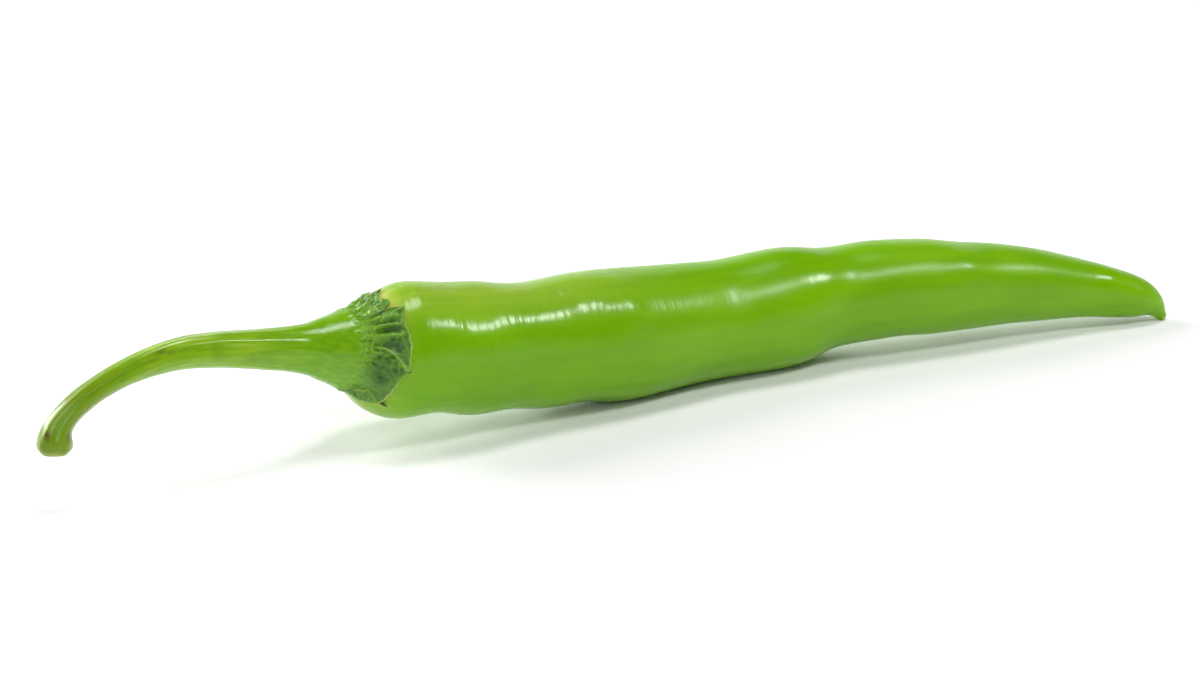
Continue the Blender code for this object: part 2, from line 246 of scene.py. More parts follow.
def smooth_curve(knots):
    """A natural cubic spline through (position, value, ...) knots, as a function of position."""
    table = np.array(knots, float)
    at, values = table[:, 0], table[:, 1:]
    step = np.diff(at)
    system = np.eye(len(at))
    right = np.zeros_like(values)
    for i in range(1, len(at) - 1):
        system[i, i - 1 : i + 2] = step[i - 1], 2 * (step[i - 1] + step[i]), step[i]
        rise = (values[i + 1] - values[i]) / step[i]
        right[i] = 6 * (rise - (values[i] - values[i - 1]) / step[i - 1])
    bend = np.linalg.solve(system, right)

    def value(position):
        position = np.asarray(position, float)
        i = np.clip(np.searchsorted(at, position) - 1, 0, len(step) - 1)
        a, b, h = (v[..., None] for v in (at[i + 1] - position, position - at[i], step[i]))
        cubic = bend[i] * (a**3 - a * h * h) + bend[i + 1] * (b**3 - b * h * h)
        return (values[i] * a + values[i + 1] * b) / h + cubic / (6 * h)

    return value


def lengths_along(points):
    """The distance of each point from the first, measured along the line through them."""
    return np.r_[0.0, np.cumsum(np.linalg.norm(np.diff(points, axis=0), axis=1))]


def unit(vectors):
    return vectors / np.linalg.norm(vectors, axis=-1, keepdims=True)


class Axis:
    """The pepper's middle line, by distance from the rim, with a frame that doesn't twist."""

    SAMPLE = 0.25

    def __init__(self):
        knots = np.array(AXIS)
        chord = lengths_along(knots)
        curve = smooth_curve(np.column_stack([chord, knots]))
        self.points = curve(np.linspace(0.0, chord[-1], int(chord[-1] / self.SAMPLE)))
        length = lengths_along(self.points)
        self.distance = length - np.interp(0.0, self.points[:, 0], length)
        self.tangents = unit(np.gradient(self.points, self.distance, axis=0))
        self.ups = self.carried_ups(int(np.argmin(np.abs(self.distance))))

    def carried_ups(self, rim):
        """The direction of angle 0 at each sample: straight up at the rim, carried along both ways."""
        ups = np.zeros_like(self.points)
        ups[rim] = self.square_to((0.0, 0.0, 1.0), rim)
        for i in range(rim + 1, len(ups)):
            ups[i] = self.square_to(ups[i - 1], i)
        for i in range(rim - 1, -1, -1):
            ups[i] = self.square_to(ups[i + 1], i)
        return ups

    def square_to(self, direction, i):
        return unit(direction - np.dot(direction, self.tangents[i]) * self.tangents[i])

    def read(self, table, distance):
        columns = [np.interp(distance, self.distance, column) for column in table.T]
        return np.stack(columns, axis=-1)

    def place(self, distance, angle, radius):
        """Points at these radii and angles (radians) from the axis, in millimetres from the rim."""
        along = self.read(self.tangents, distance)
        up = unit(self.read(self.ups, distance))
        near = np.cross(along, up)
        outward = np.cos(angle)[..., None] * up + np.sin(angle)[..., None] * near
        return self.read(self.points, distance) + np.asarray(radius)[..., None] * outward

    def poles(self, *distances):
        """Points on the axis itself, for the ends of a skin."""
        return [self.place(np.array(d), np.array(0.0), 0.0) for d in distances]


def ring_angles(columns):
    """The angles of a ring's points, in radians."""
    return np.arange(columns) * TURN / columns


def angle_from(angle, degrees):
    """How far an angle in radians lies from one in degrees, in degrees, the short way round."""
    return (np.degrees(angle) - degrees + 180.0) % 360.0 - 180.0


def read_round(table, angle):
    """The value at an angle in radians, from a table of degrees and value that closes round."""
    knots = np.array(table + ((table[0][0] + 360, table[0][1]),), float)
    turned = (np.degrees(angle) - knots[0, 0]) % 360 + knots[0, 0]
    return np.interp(turned, knots[:, 0], knots[:, 1])


def soft_step(value, low, high):
    """From 0 to 1 as the value goes from low to high, which may be the smaller of the two."""
    share = np.clip((value - low) / (high - low), 0.0, 1.0)
    return share * share * (3.0 - 2.0 * share)


def belt(distance, at, length):
    """A soft belt round the skin, 1 round its middle."""
    return np.exp(-(((distance - at) / length) ** 2))


def stripe(angle, degrees, width):
    """A soft stripe along the skin, 1 along its middle."""
    return np.exp(-((angle_from(angle, degrees) / width) ** 2))


def spot(distance, angle, at, degrees, length, width):
    """A soft round spot on the skin, 1 at its middle."""
    return np.exp(-(((distance - at) / length) ** 2) - (angle_from(angle, degrees) / width) ** 2)


def strongest(spots, distance, angle):
    """The depth of the deepest of these spots at each point."""
    depths = np.zeros(distance.shape)
    for at, degrees, depth, length, width in spots:
        depths = np.maximum(depths, depth * spot(distance, angle, at, degrees, length, width))
    return depths


def line(distance, angle, half_width, points):
    """A soft line on the skin through points of distance and angle, 1 along its middle."""
    nearest = np.full(distance.shape, np.inf)
    for (first, from_degrees), (last, to_degrees) in zip(points, points[1:]):
        along = np.array([last - first, (to_degrees - from_degrees) * DEGREE])
        x, y = distance - first, angle_from(angle, from_degrees) * DEGREE
        share = np.clip((x * along[0] + y * along[1]) / along.dot(along), 0.0, 1.0)
        nearest = np.minimum(nearest, np.hypot(x - share * along[0], y - share * along[1]))
    return np.exp(-((nearest / half_width) ** 2))


def waves(distance, angle, seed, count, length, turns):
    """A smooth random relief of about 1 in height, which closes round the axis.

    No wave is shorter than length along the axis, or goes round more than turns times.
    """
    draw = np.random.default_rng(seed)
    relief = np.zeros(np.broadcast(distance, angle).shape)
    for _ in range(count):
        along = draw.uniform(-1.0, 1.0) * TURN / length
        around = draw.integers(-turns, turns + 1)
        relief += np.sin(along * distance + around * angle + draw.uniform(0.0, TURN))
    return relief * math.sqrt(2.0 / count)


class PodSurface:
    """The pod's skin, as a radius from the axis."""

    def __init__(self):
        self.body = smooth_curve(POD_RADIUS)
        self.nib_start = POD_RADIUS[-1][0]
        self.nib_end = self.nib_start + NIB_LENGTH

    def closing(self, distance, angle):
        """The share of the full radius that is left where the pod closes, at the dome and at the nib."""
        top = 0.5 + 0.5 * np.cos(angle)
        power = DOME_POWER_UNDER + (DOME_POWER_TOP - DOME_POWER_UNDER) * top
        dome = np.clip((DOME_END - distance) / (DOME_END - DOME_START), 0.0, 1.0)
        nib = np.clip((distance - self.nib_start) / NIB_LENGTH, 0.0, 1.0)
        return (1.0 - dome**power) ** (1.0 / power) * np.sqrt(1.0 - nib * nib)

    def plain_radius(self, distance, angle):
        """The radius of the plain solid."""
        full = self.body(np.clip(distance, 0.0, self.nib_start))[..., 0]
        lobe = LOBE_SHARE * np.exp(-((distance / LOBE_FADE) ** 2))
        full = full * (1.0 + lobe * np.cos(LOBES * angle - LOBE_TURN))
        for at, degrees, rise, length, width in LUMPS:
            full = full + rise * spot(distance, angle, at, degrees, length, width)
        return full * self.closing(distance, angle)


def in_frame(points):
    """Millimetres from the rim to metres in the frame, with the belly flattened at z = 0."""
    placed = points + np.array([RIM_X, RIM_Y, 0.0])
    placed[..., 2] = np.maximum(placed[..., 2], 0.0)
    return placed * MM


def outward_normals(grid):
    """The outward direction at each point of a grid of rings."""
    along = np.gradient(grid, axis=0)
    wrapped = np.concatenate([grid[:, -1:], grid, grid[:, :1]], axis=1)
    around = np.gradient(wrapped, axis=1)[:, 1:-1]
    return unit(np.cross(around, along))


def in_scene(name, data):
    """A new object that holds this data, in the scene."""
    piece = bpy.data.objects.new(name, data)
    bpy.context.scene.collection.objects.link(piece)
    return piece


def smooth_piece(name, points, faces):
    """A new object with a smooth mesh of these points and faces, in metres in the frame."""
    mesh = bpy.data.meshes.new(name)
    mesh.from_pydata(points, [], faces)
    mesh.shade_smooth()
    return in_scene(name, mesh)


def ring_faces(rows, columns, base=0):
    """Faces that join rings of points, closed on the two poles that come after the rings."""
    index = base + np.arange(rows * columns).reshape(rows, columns)
    after = np.roll(index, -1, axis=1)
    quads = np.stack([index[:-1], after[:-1], after[1:], index[1:]], axis=-1).reshape(-1, 4)
    first, last = base + rows * columns, base + rows * columns + 1
    faces = quads.tolist()
    faces += [(first, int(n), int(k)) for k, n in zip(index[0], after[0])]
    faces += [(last, int(k), int(n)) for k, n in zip(index[-1], after[-1])]
    return faces


def ring_skin(name, grid, poles, layers):
    """One closed skin over a grid of rings, with a pole at each end and its named layers of values."""
    rows, columns = grid.shape[:2]
    points = np.concatenate([grid.reshape(-1, 3), np.array(poles)])
    piece = smooth_piece(name, in_frame(points).tolist(), ring_faces(rows, columns))
    for layer, values in layers.items():
        flat = values.reshape(rows * columns, -1)
        at_poles = [flat[:columns].mean(axis=0), flat[-columns:].mean(axis=0)]
        flat = np.concatenate([flat, at_poles])
        kind, field = ("FLOAT", "value") if flat.shape[1] == 1 else ("FLOAT_VECTOR", "vector")
        attribute = piece.data.attributes.new(layer, kind, "POINT")
        attribute.data.foreach_set(field, flat.astype(np.float32).ravel())
    return piece


def straightened(distance, angle, radius):
    """Where a point would be if the axis were straight: it gives the finishes a space of their own."""
    return np.stack([distance, radius * np.cos(angle), radius * np.sin(angle)], axis=-1)


class Shader:
    """A material's node tree, with a short call for each node that the finishes use."""

    def __init__(self, name):
        self.material = bpy.data.materials.new(name)
        self.material.use_nodes = True
        self.tree = self.material.node_tree
        self.surface = self.tree.nodes["Principled BSDF"]

    def node(self, kind, **settings):
        node = self.tree.nodes.new(kind)
        for name, value in settings.items():
            setattr(node, name, value)
        return node

    def put(self, socket, value):
        """Links a socket to another, or sets it to a number or a colour."""
        if isinstance(value, bpy.types.NodeSocket):
            self.tree.links.new(value, socket)
        elif isinstance(value, (int, float)):
            socket.default_value = value
        else:
            socket.default_value = (*value, 1.0)[: len(socket.default_value)]

    def set(self, name, value):
        self.put(self.surface.inputs[name], value)

    def layer(self, name):
        return self.node("ShaderNodeAttribute", attribute_name=name).outputs["Fac"]

    def noise(self, along, across, detail=2.0, roughness=0.5):
        """Noise on the straightened skin, in cycles per millimetre along it and across it."""
        place = self.node("ShaderNodeAttribute", attribute_name="straight").outputs["Vector"]
        mapping = self.node("ShaderNodeMapping")
        self.put(mapping.inputs["Vector"], place)
        self.put(mapping.inputs["Scale"], (along, across, across))
        noise = self.node("ShaderNodeTexNoise")
        self.put(noise.inputs["Vector"], mapping.outputs["Vector"])
        self.put(noise.inputs["Scale"], 1.0)
        self.put(noise.inputs["Detail"], detail)
        self.put(noise.inputs["Roughness"], roughness)
        return noise.outputs["Fac"]

    def band(self, value, low, high, start=0.0, end=1.0):
        """A soft step from start to end as the value goes from low to high."""
        node = self.node("ShaderNodeMapRange", interpolation_type="SMOOTHSTEP")
        for name, number in zip(("Value", "From Min", "From Max", "To Min", "To Max"),
                                (value, low, high, start, end)):
            self.put(node.inputs[name], number)
        return node.outputs["Result"]

    def combine(self, operation, first, second):
        node = self.node("ShaderNodeMath", operation=operation)
        self.put(node.inputs[0], first)
        self.put(node.inputs[1], second)
        return node.outputs[0]

    def plus(self, first, second):
        return self.combine("ADD", first, second)

    def times(self, first, second):
        return self.combine("MULTIPLY", first, second)

    def mix(self, share, first, second):
        node = self.node("ShaderNodeMix", data_type="RGBA")
        self.put(node.inputs["Factor"], share)
        self.put(node.inputs[6], first)
        self.put(node.inputs[7], second)
        return node.outputs[2]

    def bump(self, height, distance, before=None):
        """A bump of this height in metres, over the bump before it."""
        node = self.node("ShaderNodeBump")
        self.put(node.inputs["Height"], height)
        self.put(node.inputs["Distance"], distance)
        if before is not None:
            self.put(node.inputs["Normal"], before)
        return node.outputs["Normal"]


def wear(piece, material, node):
    """Gives a piece its finish, seats it on the pepper's body and lets it stand for its solid."""
    piece.data.materials.append(material)
    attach(piece, "root")
    if node is not None:
        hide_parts(node)


class PodSettings(bpy.types.PropertyGroup):
    skin: FloatVectorProperty(
        name="Skin", description="Main green of the pod",
        default=(0.150, 0.370, 0.0005), **COLOR)
    light_skin: FloatVectorProperty(
        name="Light skin", description="Lighter green of the pod's mottling",
        default=(0.185, 0.420, 0.0010), **COLOR)
    # Also the colour of the painted sheen along the top of the near half.
    shoulder: FloatVectorProperty(
        name="Shoulder", description="Pale green beside the calyx",
        default=(0.580, 0.600, 0.130), **COLOR)
    undulation: FloatProperty(
        name="Undulation", description="Height of the soft waves in the skin", unit="LENGTH",
        min=0.0, max=0.001, default=0.00002)
    ripple: FloatProperty(
        name="Ripple", description="Height of the fine ripples across the pod", unit="LENGTH",
        min=0.0, max=0.0005, default=0.00012)
    roughness: FloatProperty(
        name="Roughness", description="Roughness of the glossy skin", min=0.0, max=1.0, default=0.18)
    dull_roughness: FloatProperty(
        name="Dull roughness", description="Roughness of the duller skin towards the tip",
        min=0.0, max=1.0, default=0.26)


class CalyxSettings(bpy.types.PropertyGroup):
    funnel: FloatVectorProperty(
        name="Funnel", description="Bright green where the calyx leaves the stem",
        default=(0.135, 0.330, 0.002), **COLOR)
    # The skirt colour below is used as painted shade, in the creases and the darkest patches.
    skirt: FloatVectorProperty(
        name="Skirt", description="Darkest green of the wrinkled skirt",
        default=(0.030, 0.095, 0.008), **COLOR)
    edge: FloatVectorProperty(
        name="Edge", description="Pale line along the skirt's margin",
        default=(0.480, 0.560, 0.120), **COLOR)
    wrinkle: FloatProperty(
        name="Wrinkle", description="Height of the random wrinkles in the skirt", unit="LENGTH",
        min=0.0, max=0.001, default=0.00018)


class StemSettings(bpy.types.PropertyGroup):
    skin: FloatVectorProperty(
        name="Skin", description="Green of the stem",
        default=(0.200, 0.390, 0.006), **COLOR)
    # In the groove this green is painted shade; in the clouded patches it is the stem's own tone.
    groove: FloatVectorProperty(
        name="Groove", description="Deeper green in the stem's groove and its clouded patches",
        default=(0.120, 0.290, 0.003), **COLOR)
    scar: FloatVectorProperty(
        name="Scar", description="Brown of the stem's scars",
        default=(0.060, 0.045, 0.015), **COLOR)
    ridge: FloatProperty(
        name="Ridge", description="Height of the fine ridges along the stem", unit="LENGTH",
        min=0.0, max=0.0005, default=0.000012)


class StageSettings(bpy.types.PropertyGroup):
    key_power: FloatProperty(
        name="Key light", description="Power of the small light over the near side",
        default=2.0, **POWER)
    stem_power: FloatProperty(
        name="Stem light", description="Power of the small light that the stem reflects",
        default=1.2, **POWER)
    fill_power: FloatProperty(
        name="Fill light", description="Power of the light on the near side, towards the stem",
        default=2.9, **POWER)
    overhead_power: FloatProperty(
        name="Overhead light", description="Power of the light overhead",
        default=6.0, **POWER)
    low_panel_power: FloatProperty(
        name="Low panel", description="Power of the panel low down behind the stem",
        default=14.5, **POWER)
    high_panel_power: FloatProperty(
        name="High panel", description="Power of the panel high up behind the stem",
        default=6.0, **POWER)
    wall_glow: FloatProperty(
        name="Wall glow", description="Brightness of the white wall behind",
        min=0.0, max=10.0, default=0.12)
    paper: FloatVectorProperty(
        name="Paper", description="Colour of the white floor and wall",
        default=(0.90, 0.90, 0.90), **COLOR)


class MESH_OT_chili_pod(bpy.types.Operator):
    """Builds the pod: the long glossy fruit with its undulating skin"""

    bl_idname = "mesh.chili_pod"
    bl_label = "Pod"

    COLUMNS = 176
    DOME_ROWS = 60
    NIB_ROWS = 10
    BODY_STEP = 0.42

    def rows(self, surface):
        dome = [0.5 * math.pi * k / self.DOME_ROWS for k in range(1, self.DOME_ROWS + 1)]
        nib = [0.5 * math.pi * k / self.NIB_ROWS for k in range(1, self.NIB_ROWS)]
        count = int((surface.nib_start - DOME_END) / self.BODY_STEP)
        distances = [DOME_END - (DOME_END - DOME_START) * math.cos(t) for t in dome]
        distances += list(np.linspace(DOME_END, surface.nib_start, count))[1:]
        distances += [surface.nib_start + NIB_LENGTH * math.sin(t) for t in nib]
        return np.array(distances)

    def relief(self, distance, angle, settings):
        """The near side's lumps and the soft waves that the plain solid leaves out."""
        relief = waves(distance, angle, seed=3, count=30, length=13.0, turns=4)
        relief = relief * settings.undulation / MM
        for at, degrees, rise, length, width in NEAR_LUMPS:
            relief += rise * spot(distance, angle, at, degrees, length, width)
        return relief

    def pale_with_painted_light_and_shade(self, distance, angle):
        """Pale beside the calyx, less underneath as painted shade; a painted sheen along the near top.
        """
        up_or_down = 0.5 + 0.5 * np.cos(2 * angle)
        above = 0.5 + 0.5 * np.cos(angle)
        # The shoulder's pale green is its own colour; less of it underneath is painted shade.
        shoulder = soft_step(distance, 3.0, -2.5) * (0.15 + 0.85 * up_or_down) * (0.25 + 0.75 * above)
        # A paler stripe along the top of the near half: partly the skin's pale striping, partly painted
        # sheen.
        top = 0.28 * stripe(angle, 18, 26) * soft_step(distance, 62.0, 20.0)
        return np.maximum(shoulder, top)

    def dullness(self, distance):
        """Glossy as far as the middle and in two belts towards the tip, and duller between them."""
        glossy = np.maximum(soft_step(distance, 48.0, 36.0), belt(distance, 82.0, 6.0))
        return 1.0 - np.maximum(glossy, belt(distance, 144.0, 4.0))

    def execute(self, context):
        settings = context.scene.chili_pod
        axis, surface = Axis(), PodSurface()
        rings = self.rows(surface)
        distance, angle = np.meshgrid(rings, ring_angles(self.COLUMNS), indexing="ij")
        radius = surface.plain_radius(distance, angle)
        radius = radius + self.relief(distance, angle, settings) * surface.closing(distance, angle)
        layers = {
            "straight": straightened(distance, angle, radius),
            "pale": self.pale_with_painted_light_and_shade(distance, angle),
            "rippled": 0.2 + 0.8 * soft_step(distance, 60.0, 38.0),
            "dull": self.dullness(distance),
        }
        ends = axis.poles(DOME_START, surface.nib_end)
        pod = ring_skin("chili_pod", axis.place(distance, angle, radius), ends, layers)
        wear(pod, pod_skin(settings), "pod")
        return {"FINISHED"}


# The pale layer carries the real pale shoulder, painted shade under it and a painted sheen on top.
def pod_skin(settings):
    """Glossy green skin: cloudy mottling, faint stripes along it, a pale shoulder and fine ripples."""
    shader = Shader("pod skin")
    clouds = shader.noise(0.06, 0.16, detail=3.0)
    stripes = shader.noise(0.02, 0.55)
    grain = shader.noise(2.2, 2.2)
    blend = shader.plus(shader.times(clouds, 0.6), shader.times(stripes, 0.4))
    color = shader.mix(shader.band(blend, 0.35, 0.65), settings.skin, settings.light_skin)
    # The pale layer: the real pale shoulder, its painted shade underneath and the painted top sheen.
    pale = shader.times(shader.layer("pale"), shader.band(stripes, 0.25, 0.6, 0.6, 1.0))
    color = shader.mix(pale, color, settings.shoulder)
    speckle = shader.band(grain, 0.3, 0.75, 0.0, 0.12)
    color = shader.mix(speckle, color, settings.light_skin)
    ripples = shader.noise(1.2, 0.16, detail=1.0)
    groups = shader.noise(0.35, 0.12, detail=1.0)
    height = shader.times(ripples, shader.band(groups, 0.35, 0.65, 0.5, 1.0))
    height = shader.times(height, shader.layer("rippled"))
    normal = shader.bump(height, settings.ripple)
    normal = shader.bump(grain, 0.000008, normal)
    glossy, dull = settings.roughness, settings.dull_roughness
    shader.set("Base Color", color)
    shader.set("Roughness", shader.band(shader.layer("dull"), 0.0, 1.0, glossy, dull))
    shader.set("Normal", normal)
    shader.set("Specular IOR Level", 0.28)
    shader.set("Subsurface Weight", 0.12)
    shader.set("Subsurface Radius", (0.8, 1.0, 0.2))
    shader.set("Subsurface Scale", 0.002)
    return shader.material


class MESH_OT_chili_calyx(bpy.types.Operator):
    """Builds the calyx: the smooth funnel, the wrinkled skirt and its withered tips"""

    bl_idname = "mesh.chili_calyx"
    bl_label = "Calyx"

    COLUMNS = 480
    FUNNEL_ROWS = 36
    SKIRT_ROWS = 84
    EDGE_ROWS = 5
    UNDER_ROWS = 6

    def reach(self, angle):
        """How far along the axis the skirt reaches, with a slightly uneven edge."""
        uneven = 0.06 * waves(0.0, angle, seed=21, count=24, length=1.0, turns=60)
        return read_round(MARGIN, angle) + uneven

    def relief(self, distance, angle, reach, settings):
        """Pleats, creases and wrinkles of the skirt, as a height over the smooth surface."""
        relief = np.zeros(distance.shape)
        for degrees, height, width, first, last, lean in FOLDS:
            share = np.clip((distance - first) / (last - first), 0.0, 1.0)
            rise = soft_step(distance, first - 0.5, first + 0.9)
            fall = soft_step(distance, last + 0.9, last - 0.3)
            fold = stripe(angle, degrees + lean * (share - 0.5), width)
            relief += height * (rise * fall) * fold
        skirt = soft_step(distance, -8.0, -5.4)
        smoother = spot(distance, angle, -3.0, 118, 9.0, 24)
        coarse = -np.abs(waves(distance, angle, seed=11, count=26, length=1.5, turns=42))
        fine = -np.abs(waves(distance, angle, seed=13, count=26, length=0.8, turns=80))
        wrinkles = (coarse + 0.45 * fine) * settings.wrinkle / MM
        wrinkles *= skirt * (1.0 - 0.7 * smoother)
        blister = 0.25 * spot(distance, angle, -5.0, 60, 1.2, 11)
        flat_edge = 1.0 - 0.75 * soft_step(distance - reach, -0.9, -0.1)
        relief = (relief + wrinkles + blister) * flat_edge
        deepest = DEEPEST_CREASE * self.cover(distance)
        relief = np.where(relief < 0.0, deepest * np.tanh(relief / deepest), relief)
        for height, half_width, points in RIDGES:
            relief += height * line(distance, angle, half_width, points)
        return relief

    def execute(self, context):
        settings = context.scene.chili_calyx
        axis, surface = Axis(), PodSurface()
        angles = ring_angles(self.COLUMNS)
        reach = self.reach(angles)
        start, funnel_end = FUNNEL_RADIUS[0][0], FUNNEL_RADIUS[-1][0]
        funnel = np.linspace(start, funnel_end, self.FUNNEL_ROWS)[:, None] + 0.0 * reach
        share = np.linspace(0.0, 1.0, self.SKIRT_ROWS + 1)[1:, None]
        skirt = funnel_end + (reach - funnel_end) * share
        distance = np.concatenate([funnel, skirt])
        angle = np.broadcast_to(angles, distance.shape)
        radius = self.outer_radius(surface, distance, angle)
        outer = axis.place(distance, angle, radius)
        normals = outward_normals(outer)
        relief = self.relief(distance, angle, reach, settings)
        outer = outer + normals * relief[..., None]
        tucked, tucked_distance = self.tucked_under(axis, surface, reach, angles, outer[-1])
        grid = np.concatenate([outer, tucked])
        distance = np.concatenate([distance, tucked_distance])
        angle = np.broadcast_to(angles, distance.shape)
        pad = np.zeros(tucked_distance.shape)
        relief = np.concatenate([relief, pad])
        radius = np.concatenate([radius, pad + radius[-1]])
        ridge = np.zeros(distance.shape)
        for _, half_width, points in RIDGES:
            ridge = np.maximum(ridge, line(distance, angle, half_width, points))
        layers = {
            "straight": straightened(distance, angle, radius),
            "skirt": distance - read_round(DARKER_FROM, angle),
            # Where the skirt is darkened as painted shade.
            "dark": strongest(SHADE_PAINTED_PATCHES, distance, angle),
            "ridge": ridge,
            "from_edge": reach - distance,
            "relief": relief,
            "pale_edge": np.maximum(stripe(angle, 74, 24), stripe(angle, 122, 26)),
        }
        calyx = ring_skin("chili_calyx", grid, axis.poles(start, DOME_START), layers)
        wear(calyx, calyx_skin(settings), "calyx")
        self.tips(axis, surface)
        return {"FINISHED"}

    def cover(self, distance):
        """How far the skirt stands over the pod, before its relief."""
        share = np.clip((distance - SKIRT_START) / -SKIRT_START, 0.0, 1.0)
        return SKIRT_GAP + SKIRT_THICKNESS + (EDGE_THICKNESS - SKIRT_THICKNESS) * share

    def outer_radius(self, surface, distance, angle):
        """The funnel, and where the pod is wider, the skirt that covers it."""
        funnel_at = smooth_curve(FUNNEL_RADIUS)
        funnel = funnel_at(np.minimum(distance, FUNNEL_RADIUS[-1][0]))[..., 0]
        skirt = surface.plain_radius(distance, angle) + self.cover(distance)
        return (funnel**BLEND + skirt**BLEND) ** (1.0 / BLEND)

    def tucked_under(self, axis, surface, reach, angles, rim):
        """Rows that round the margin off and go back underneath, just inside the pod's skin."""
        rows, distances = [], []
        low = axis.place(reach, angles, surface.plain_radius(reach, angles) - 0.1)
        for k in range(1, self.EDGE_ROWS + 1):
            turn = 0.5 * math.pi * k / self.EDGE_ROWS
            rows.append(low + (rim - low) * math.cos(turn))
            distances.append(reach)
        for k in range(1, self.UNDER_ROWS + 1):
            share = 1.0 - k / (self.UNDER_ROWS + 1.0)
            back = DOME_START + 0.05 + (reach - DOME_START - 0.05) * share
            radius = np.maximum(surface.plain_radius(back, angles) - 0.2, 0.05)
            rows.append(axis.place(back, angles, radius))
            distances.append(back)
        return np.array(rows), np.array(distances)

    def tips(self, axis, surface):
        """The withered points of the teeth: small flattened horns that lie along the pod."""
        rows, columns = 14, 12
        points, faces = [], []
        for degrees, length, width, lift in TOOTH_TIPS:
            middle = np.radians(degrees)
            root = float(self.reach(np.array([middle]))[0]) - 0.5
            share = np.linspace(0.0, 1.0, rows)[:, None]
            turn = ring_angles(columns)[None, :]
            thick = width * (1.0 - share**1.6) ** 0.5
            distance = root + length * share + 0.0 * turn
            radius = surface.plain_radius(distance, middle + 0.0 * distance)
            height = radius + 0.25 + lift * share**2 + 0.8 * thick * np.cos(turn)
            sideways = middle + thick * np.sin(turn) / radius
            grid = axis.place(distance, sideways, height)
            faces += ring_faces(rows - 1, columns, base=len(points))
            points += in_frame(grid[:-1].reshape(-1, 3)).tolist()
            points += in_frame(grid[[0, -1]].mean(axis=1)).tolist()
        tips = smooth_piece("chili_calyx_tips", points, faces)
        wear(tips, withered_skin(), None)


def calyx_skin(settings):
    """Bright funnel, dark blistered skirt with painted light and shade, lighter margin, pale edge line.
    """
    shader = Shader("calyx skin")
    clouds = shader.noise(0.35, 0.35, detail=3.0)
    blisters = shader.noise(1.3, 1.3, detail=3.0, roughness=0.6)
    funnel, streaks = funnel_green(shader, settings)
    skirt = shader.layer("skirt")
    border = shader.plus(skirt, shader.band(blisters, 0.3, 0.7, -0.7, 0.7))
    middle = shader.mix(shader.band(clouds, 0.35, 0.7), SKIRT_SHADE, SKIRT_LIGHT)
    # Painted light: the skirt's crests are lightened by their height.
    crest = shader.band(shader.layer("relief"), -0.2, 0.2, 0.0, 0.5)
    middle = shader.mix(crest, middle, PAINTED_CREST_LIGHT)
    # Painted shade: the skirt's darkest green laid into its creases.
    painted_crease_shade = shader.band(shader.layer("relief"), -0.05, -0.40, 0.0, 0.85)
    middle = shader.mix(painted_crease_shade, middle, settings.skirt)
    color = shader.mix(shader.band(border, -1.2, 1.2), funnel, middle)
    blotches = shader.band(shader.noise(0.9, 0.9), 0.3, 0.7, 0.55, 1.0)
    # Painted shade: the skirt's darkest green laid into its patches.
    color = shader.mix(shader.times(shader.layer("dark"), blotches), color, settings.skirt)
    pale = shader.times(shader.layer("ridge"), shader.band(blisters, 0.35, 0.6, 0.2, 0.7))
    color = shader.mix(pale, color, PALE_RIDGE)
    edge = shader.band(shader.layer("from_edge"), 0.20, 0.08)
    color = shader.mix(shader.times(edge, shader.layer("pale_edge")), color, settings.edge)
    wrinkled = shader.band(skirt, -2.4, 0.0)
    normal = shader.bump(streaks, 0.00003)
    normal = shader.bump(shader.times(blisters, wrinkled), 0.0003, normal)
    shader.set("Base Color", color)
    shader.set("Roughness", shader.band(clouds, 0.3, 0.7, 0.16, 0.24))
    shader.set("Normal", normal)
    shader.set("Specular IOR Level", 0.45)
    shader.set("Subsurface Weight", 0.05)
    shader.set("Subsurface Scale", 0.001)
    return shader.material


def funnel_green(shader, calyx):
    """The streaked green where the stem widens into the calyx, the same on both, and its streaks."""
    streaks = shader.noise(0.10, 1.6, detail=3.0)
    green = shader.mix(shader.band(streaks, 0.35, 0.7), calyx.funnel, FUNNEL_STREAK)
    return green, streaks


def withered_skin():
    """The dark, dry brown of the teeth's points."""
    shader = Shader("withered tips")
    shader.set("Base Color", WITHERED)
    shader.set("Roughness", 0.6)
    return shader.material


